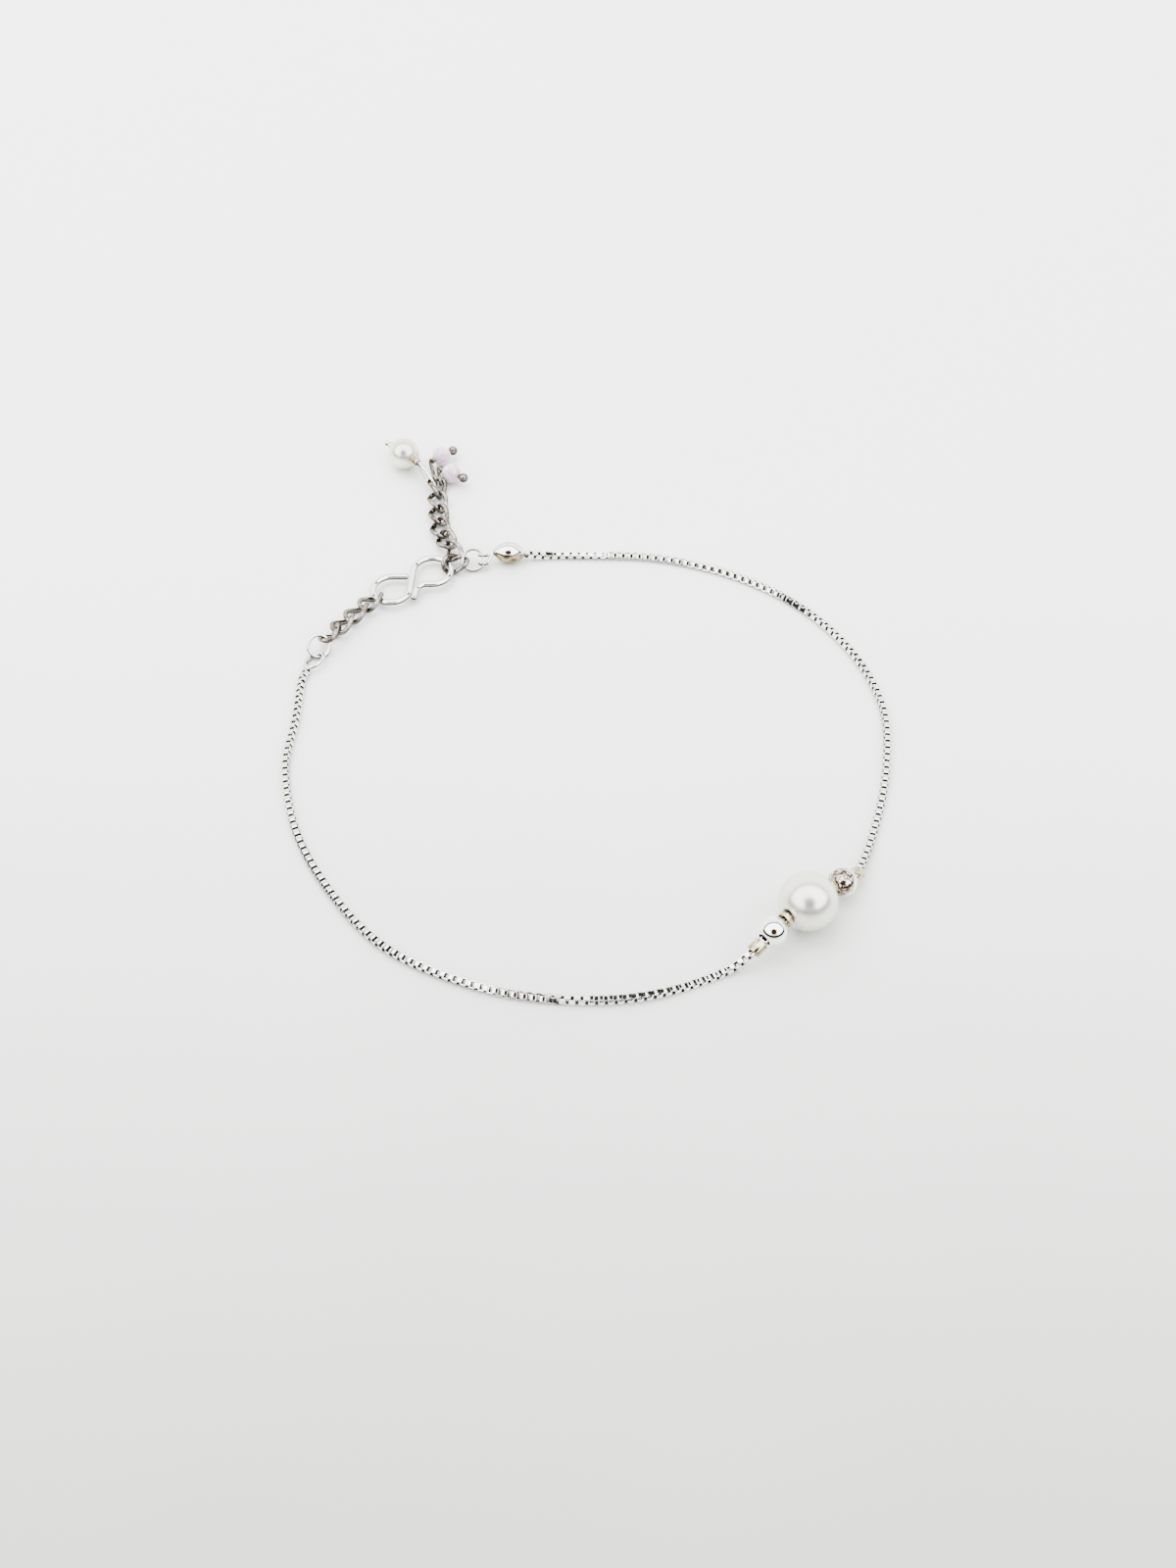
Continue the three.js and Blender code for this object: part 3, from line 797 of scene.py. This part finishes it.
HOOK_EYE_RADIUS = 2.8
HOOK_BEND_RADIUS = 2.9
HOOK_EYE_HOLD = Vector((-31.95, 20.75))
HOOK_BEND_HOLD = Vector((-21.4, 28.12))
HOOK_EYE_TURN = 45
HOOK_BEND_TURN = 208
HOOK_LEAD = 2.4
HOOK_TAIL = 3.2
HOOK_WIRE = 0.8
HOOK_HEIGHT = 1.2


def unit(degrees):
    return Vector((math.cos(math.radians(degrees)), math.sin(math.radians(degrees))))


HOOK_EYE = HOOK_EYE_HOLD + HOOK_EYE_RADIUS * unit(HOOK_EYE_TURN)
HOOK_BEND = HOOK_BEND_HOLD + HOOK_BEND_RADIUS * unit(HOOK_BEND_TURN)


def hook_path():
    """The S hook's course: the lead, the eye, the wire that crosses over, the bend, the tail."""
    way = HOOK_BEND - HOOK_EYE
    cross = math.atan2(way.y, way.x) - math.acos((HOOK_EYE_RADIUS + HOOK_BEND_RADIUS) / way.length)
    points = []

    def push(x, y):
        points.append(Vector((x, y, HOOK_HEIGHT)))

    def arc(middle, radius, start, end, count):
        for i in range(count + 1):
            angle = start + (end - start) * i / count
            push(middle.x + radius * math.cos(angle), middle.y + radius * math.sin(angle))

    push(HOOK_EYE.x + HOOK_LEAD, HOOK_EYE.y + HOOK_EYE_RADIUS)
    push(HOOK_EYE.x + HOOK_LEAD / 2, HOOK_EYE.y + HOOK_EYE_RADIUS)
    arc(HOOK_EYE, HOOK_EYE_RADIUS, math.pi / 2, cross + 2 * math.pi, 20)
    eye_end = points[-1]
    bend_start = Vector((HOOK_BEND.x, HOOK_BEND.y, HOOK_HEIGHT))
    bend_start += HOOK_BEND_RADIUS * Vector((math.cos(cross + math.pi), math.sin(cross + math.pi), 0))
    points.extend(eye_end.lerp(bend_start, share) for share in (0.2, 0.4, 0.6, 0.8))
    arc(HOOK_BEND, HOOK_BEND_RADIUS, cross + math.pi, -math.pi / 2, 18)
    last = points[-1].copy()
    for back, down in ((0.4, 0.02), (0.66, 0.3), (0.8, 1.0)):
        push(last.x - HOOK_TAIL * back, last.y - HOOK_TAIL * down)
    return smooth_curve(points, 0.16)


def add_hook(silver):
    """The hook, shown a little thicker than HOOK_WIRE."""
    path = hook_path()
    taper = rounded_ends(len(path), 2)
    bm = wire(path, HOOK_WIRE * 1.18, HOOK_WIRE * 1.08, sides=16, taper=taper)
    new_piece("s_hook_wire", bm, silver, "silver", "s_hook")


# The bead tip: two cups closed over the chain's end, each with a loop on the jump ring

TIP_LENGTH = 5.5
TIP_WIDTH = 3.3
TIP_WALL = 0.16
TIP_RISE = 8
TIP_ROLL = 28
TIP_WAY = Vector((-3.3, -0.25, 0))
TIP_GAP = 0.16
TIP_FULLNESS = 0.8
TIP_SLIT = 0.06
TIP_LOOP_TURNS = (24, -22)
TIP_LOOP_DIAMETER = 1.3
TIP_LOOP_WIRE = 0.4
TIP_NECK_DIAMETER = 0.46
TIP_NECK_DEPTH = 0.25


def add_bead_tip(silver, lower_cup_gold_and_shade):
    """Two cups, the lower one in its own darker gold finish, partly plating and partly painted shade, and
    the two wires and loops on the ring.
    """
    way = TIP_WAY.normalized()
    heading = math.degrees(math.atan2(way.y, way.x))
    half = TIP_LENGTH / 2
    middle = ROUTE_END + way * (TIP_GAP + half)
    middle.z = TIP_WIDTH / 2
    rows = 28
    profile = []
    for i in range(rows + 1):
        radius = TIP_WIDTH / 2 * math.sin(math.pi * i / rows) ** TIP_FULLNESS
        profile.append((radius, -half + TIP_LENGTH * i / rows))
    bm = bmesh.new()
    for side in (1, -1):
        cup = turned(profile, 48)
        bmesh.ops.bisect_plane(
            cup,
            geom=cup.verts[:] + cup.edges[:] + cup.faces[:],
            plane_co=(0, 0, TIP_SLIT / 2 * side),
            plane_no=(0, 0, side),
            clear_inner=True,
        )
        thicken(cup, TIP_WALL)
        # The lower cup takes the dark gold: partly its plating, partly painted shade.
        for face in cup.faces:
            face.material_index = int(side < 0)
        join(bm, cup, turn_at(middle, heading, TIP_RISE, TIP_ROLL))
    nose = middle + way * (half - TIP_NECK_DEPTH) * math.cos(math.radians(TIP_RISE))
    nose.z += (half - TIP_NECK_DEPTH) * math.sin(math.radians(TIP_RISE))
    ring_place, tilt = Vector(RINGS[1][1]), RINGS[1][2]
    radius = (RING_DIAMETER - RING_WIRE) / 2
    loop = oval(TIP_LOOP_DIAMETER, TIP_LOOP_DIAMETER, steps=28)
    for turn in TIP_LOOP_TURNS:
        on_ring = turn_at(ring_place, 0, 0, tilt) @ (radius * unit(turn)).to_3d()
        loop_wire = wire(loop, TIP_LOOP_WIRE, sides=12, closed=True)
        join(bm, loop_wire, turn_at(on_ring, 0, 0, tilt - 90))
        outer = on_ring + Vector((TIP_LOOP_DIAMETER / 2, 0, 0))
        arm = [outer.lerp(nose, i / 4) for i in range(5)]
        join(bm, wire(arm, TIP_NECK_DIAMETER, sides=12))
    new_piece("bead_tip_cups", bm, silver, "silver", "bead_tip", second=lower_cup_gold_and_shade)


# The charms: beads on head pins whose wrapped eyes hang on the last curb link. Each row: the
# main bead's middle, heading and rise in degrees, the wrap's length, the eye's far end, and
# the head's diameter

PIN_WIRE = 0.45
PIN_SHAFT = PIN_WIRE * 0.9
WRAP_WIRE = PIN_WIRE * 0.72
WRAP_RADIUS = PIN_WIRE * 0.78
WRAP_PITCH = PIN_WIRE * 0.8
EYE_WIDTH = 1.45
EYE_SWELL = 0.35
PIN_BORE = 0.69
PLAY = 0.06
CHARM_PEARL_DIAMETER = 5
CHARM_SEED_DIAMETER = 1.5
CHARM_SEED_LENGTH = 0.9
LILAC_DIAMETER = 3.1
CHARMS = {
    "charm_pin": ((-29.7, 52.7, 2.5), (-49.2, 8.9), 0.36, (-24.42, 46.05, 0.9), 0.9),
    "head_pin_1": ((-23.7, 53.15, 1.6), (-137.5, 4.7), 0.84, (-24.3, 47.0, 1.15), 1.5),
    "head_pin_2": ((-21.95, 48.9, 1.6), (148.1, -4.3), 1.05, (-23.6, 46.8, 1.3), 1.5),
}


def way_of(heading, rise):
    """The unit vector of a heading and a rise in degrees."""
    heading, rise = math.radians(heading), math.radians(rise)
    level = math.cos(rise)
    return Vector((level * math.cos(heading), level * math.sin(heading), math.sin(rise)))


def eye_path(length, width, steps=36):
    """A wire eye, narrow at its neck and round at its far end."""
    path = []
    for i in range(steps):
        angle = 2 * math.pi * i / steps
        swell = 1 + EYE_SWELL * math.cos(angle)
        path.append(Vector((length / 2 * math.cos(angle), width / 2 * math.sin(angle) * swell, 0)))
    return path


def wrap_path(length, radius, turns):
    """A coil about the +X axis."""
    steps = turns * 16
    path = []
    for i in range(steps + 1):
        angle = 2 * math.pi * turns * i / steps
        path.append(Vector((length * i / steps, radius * math.cos(angle), radius * math.sin(angle))))
    return path


def bead_row(name, length, shape, material, slot, main=False):
    return dict(name=name, length=length, shape=shape, material=material, slot=slot, main=main)


def add_pin(name, beads, material, slot):
    """A pin with its beads, which come from its head on. The main one sits at the row's place."""
    bead_place, turn, wrap_length, eye, head = CHARMS[name]
    bead_place, eye = Vector(bead_place), Vector(eye)
    way = way_of(*turn)
    first = [row["main"] for row in beads].index(True)
    pitches = [(a["length"] + b["length"]) / 2 + PLAY for a, b in zip(beads, beads[1:])]
    place = -sum(pitches[:first])
    start = place - beads[0]["length"] / 2 - PLAY
    for row, pitch in zip(beads, pitches + [0]):
        middle = bead_place + way * place
        bm = bmesh.new()
        join(bm, row["shape"], along(middle, middle + way, 0))
        new_piece(row["name"] + "_bead", bm, row["material"], row["slot"], row["name"], sharp=25)
        last = place + row["length"] / 2 + PLAY
        place += pitch
    head_middle = bead_place + way * (start - head / 2)
    wrap_start = bead_place + way * last
    neck = wrap_start + way * wrap_length
    bm = bmesh.new()
    straight = [head_middle.lerp(neck, i / 6) for i in range(7)]
    join(bm, wire(straight, PIN_SHAFT, sides=12))
    bmesh.ops.create_uvsphere(
        bm, u_segments=28, v_segments=18, radius=head / 2, matrix=Matrix.Translation(head_middle)
    )
    turns = max(2, round(wrap_length / WRAP_PITCH))
    wrap = wire(wrap_path(wrap_length * 0.9, WRAP_RADIUS, turns), WRAP_WIRE, sides=10)
    join(bm, wrap, along(wrap_start, neck, 0))
    eye_wire = wire(eye_path((eye - neck).length, EYE_WIDTH), PIN_WIRE, sides=12, closed=True)
    join(bm, eye_wire, along(neck, eye, 0.5, 90))
    new_piece(name + "_wire", bm, material, slot, name)


def add_charms(silver, grey_silver, gold, nacre, lilac):
    end_seed = bead(CHARM_SEED_DIAMETER, PIN_BORE, 14, 24, 0.05)
    pearl = bead(CHARM_PEARL_DIAMETER, PIN_BORE, 36, 60, 0.08)
    neck_seed = tube(CHARM_SEED_DIAMETER, CHARM_SEED_LENGTH, PIN_BORE, 0.14, 9)
    beads = [
        bead_row("charm_end_seed", CHARM_SEED_DIAMETER, end_seed, nacre, "nacre"),
        bead_row("charm_pearl", CHARM_PEARL_DIAMETER, pearl, nacre, "nacre", main=True),
        bead_row("charm_neck_seed", CHARM_SEED_LENGTH, neck_seed, gold, "gold"),
    ]
    add_pin("charm_pin", beads, silver, "silver")
    for i in (1, 2):
        shape = bead(LILAC_DIAMETER, PIN_BORE, 28, 48, 0.08)
        beads = [bead_row(f"pink_bead_{i}", LILAC_DIAMETER, shape, lilac, "lilac", main=True)]
        add_pin(f"head_pin_{i}", beads, grey_silver, "grey_silver")


# Table, light and surroundings

# Painted light and shade on the table: darker near the front, lighter at the back.
NEAR_SHADE_TONE = (0.31, 0.315, 0.30, 1)
FAR_LIT_TONE = (0.76, 0.785, 0.765, 1)
TABLE_HALF = 1.5
TABLE_SINK = 0.00002
DOME_TONE = (7.0, 7.0, 6.95, 1)
BACKDROP_TONE = (4.2, 4.2, 4.1, 1)
FIELD_TONE = (2.4, 2.1, 2.05, 1)
GAP_TONE = (0.02, 0.02, 0.022, 1)
OPENING_TONE = (0.07, 0.034, 0.016, 1)
BACKDROP_LEAN = 1.3


def add_table():
    """A plain pale table top, just under the part, lighter towards the back, with painted shade darkening
    it towards the front.
    """
    bm = bmesh.new()
    bmesh.ops.create_grid(bm, x_segments=1, y_segments=1, size=TABLE_HALF)
    mesh = bpy.data.meshes.new("table_top")
    bm.to_mesh(mesh)
    bm.free()
    finish = Finish("pale_table", Specular_IOR_Level=0.35)
    cloud = finish.noise(60, detail=2)
    # Painted light and shade: the table darkens towards the front and lightens towards the back.
    back = (finish.place.axis(1) + 0.02 * cloud).between(-0.16, 0.05)
    finish.set("Base Color", back.mix(NEAR_SHADE_TONE, FAR_LIT_TONE))
    finish.set("Roughness", 0.42 + 0.06 * finish.noise(8))
    mesh.materials.append(finish.material)
    table = bpy.data.objects.new("table_top", mesh)
    table.location.z = -TABLE_SINK
    bpy.context.scene.collection.objects.link(table)


def add_world():
    """A white tent: a backdrop that rises behind, a dark gap along its rim, and the dark
    opening that the camera looks through, with a pinkish grey field below it. Past the table
    the camera itself sees the plain backdrop."""
    world = bpy.data.worlds.new("tent")
    world.use_nodes = True
    tree = world.node_tree
    background = tree.nodes["Background"]
    place = tree.nodes.new("ShaderNodeTexCoord")
    way = Socket(tree, place.outputs["Generated"])
    side, depth, up = (way.axis(i) for i in range(3))
    over = up - depth.math("MAXIMUM", 0.0) * BACKDROP_LEAN
    gap = over.between(0.0, 0.02) * (1 - over.between(0.28, 0.36))
    camera = CAMERA_FOOT.normalized()
    opening = way.vector_math("DOT_PRODUCT", camera, output=1).between(0.915, 0.935)
    wide = side.math("ABSOLUTE", 0.0) + 0.6 * up
    field = 1 - wide.between(0.62, 0.68)
    field *= 1 - up.between(0.66, 0.74)
    field *= 1 - depth.between(-0.3, -0.2)
    white = over.between(0.02, 0.10).mix(BACKDROP_TONE, DOME_TONE)
    toned = gap.mix(field.mix(white, FIELD_TONE), GAP_TONE)
    reflected = opening.mix(toned, OPENING_TONE)
    is_camera = way.node("ShaderNodeLightPath", output=0)
    color = is_camera.mix(reflected, BACKDROP_TONE)
    tree.links.new(color.socket, background.inputs["Color"])
    bpy.context.scene.world = world


def add_light(name, place, aim, size, power):
    """A round soft light that the polished surfaces don't mirror."""
    data = bpy.data.lights.new(name, "AREA")
    data.shape = "DISK"
    data.size = size
    data.energy = power
    light = bpy.data.objects.new(name, data)
    light.visible_glossy = False
    light.location = place
    light.rotation_euler = (Vector(aim) - Vector(place)).to_track_quat("-Z", "Y").to_euler()
    bpy.context.scene.collection.objects.link(light)


add_camera()
add_table()
add_world()
add_light("softbox", place=(-0.3, 0.55, 0.9), aim=(0, 0.1, 0), size=1.2, power=28.0)

# Both silver wire finishes paint shade where a surface faces the table; the chain's only where it faces
# down.
silver = wire_silver("wire_silver", 0.28, 0.68)
chain_silver = wire_silver("chain_silver", -0.6, 0.0)
mirror = mirror_silver()
# The right ball's finish carries a painted reflection of the pearl beside it.
reflection_painted_mirror = mirror_with_painted_reflection("ball_right", middle_of("pearl"))
grey_silver = worn_silver()
gold = plated_gold("seed_gold", (0.30, 0.24, 0.11, 1), (0.66, 0.57, 0.34, 1), 0.12)
pale_gold = plated_gold("crimp_gold", (0.26, 0.23, 0.12, 1), (0.66, 0.61, 0.42, 1), 0.10)
# The bead tip's lower cup: gold plating, darkened further as painted shade.
tip_gold_and_shade = plated_gold("tip_gold_and_shade", (0.05, 0.036, 0.016, 1), (0.34, 0.28, 0.15, 1), 0.08)
nacre = pearl_coat()
lilac = lilac_glass()

add_chain(chain_silver, tarnish_and_shade())
add_beads(mirror, reflection_painted_mirror, gold, pale_gold, nacre)
add_links(grey_silver)
add_rings(silver)
add_end_loop(silver)
add_hook(silver)
add_bead_tip(silver, tip_gold_and_shade)
add_charms(silver, grey_silver, gold, nacre, lilac)
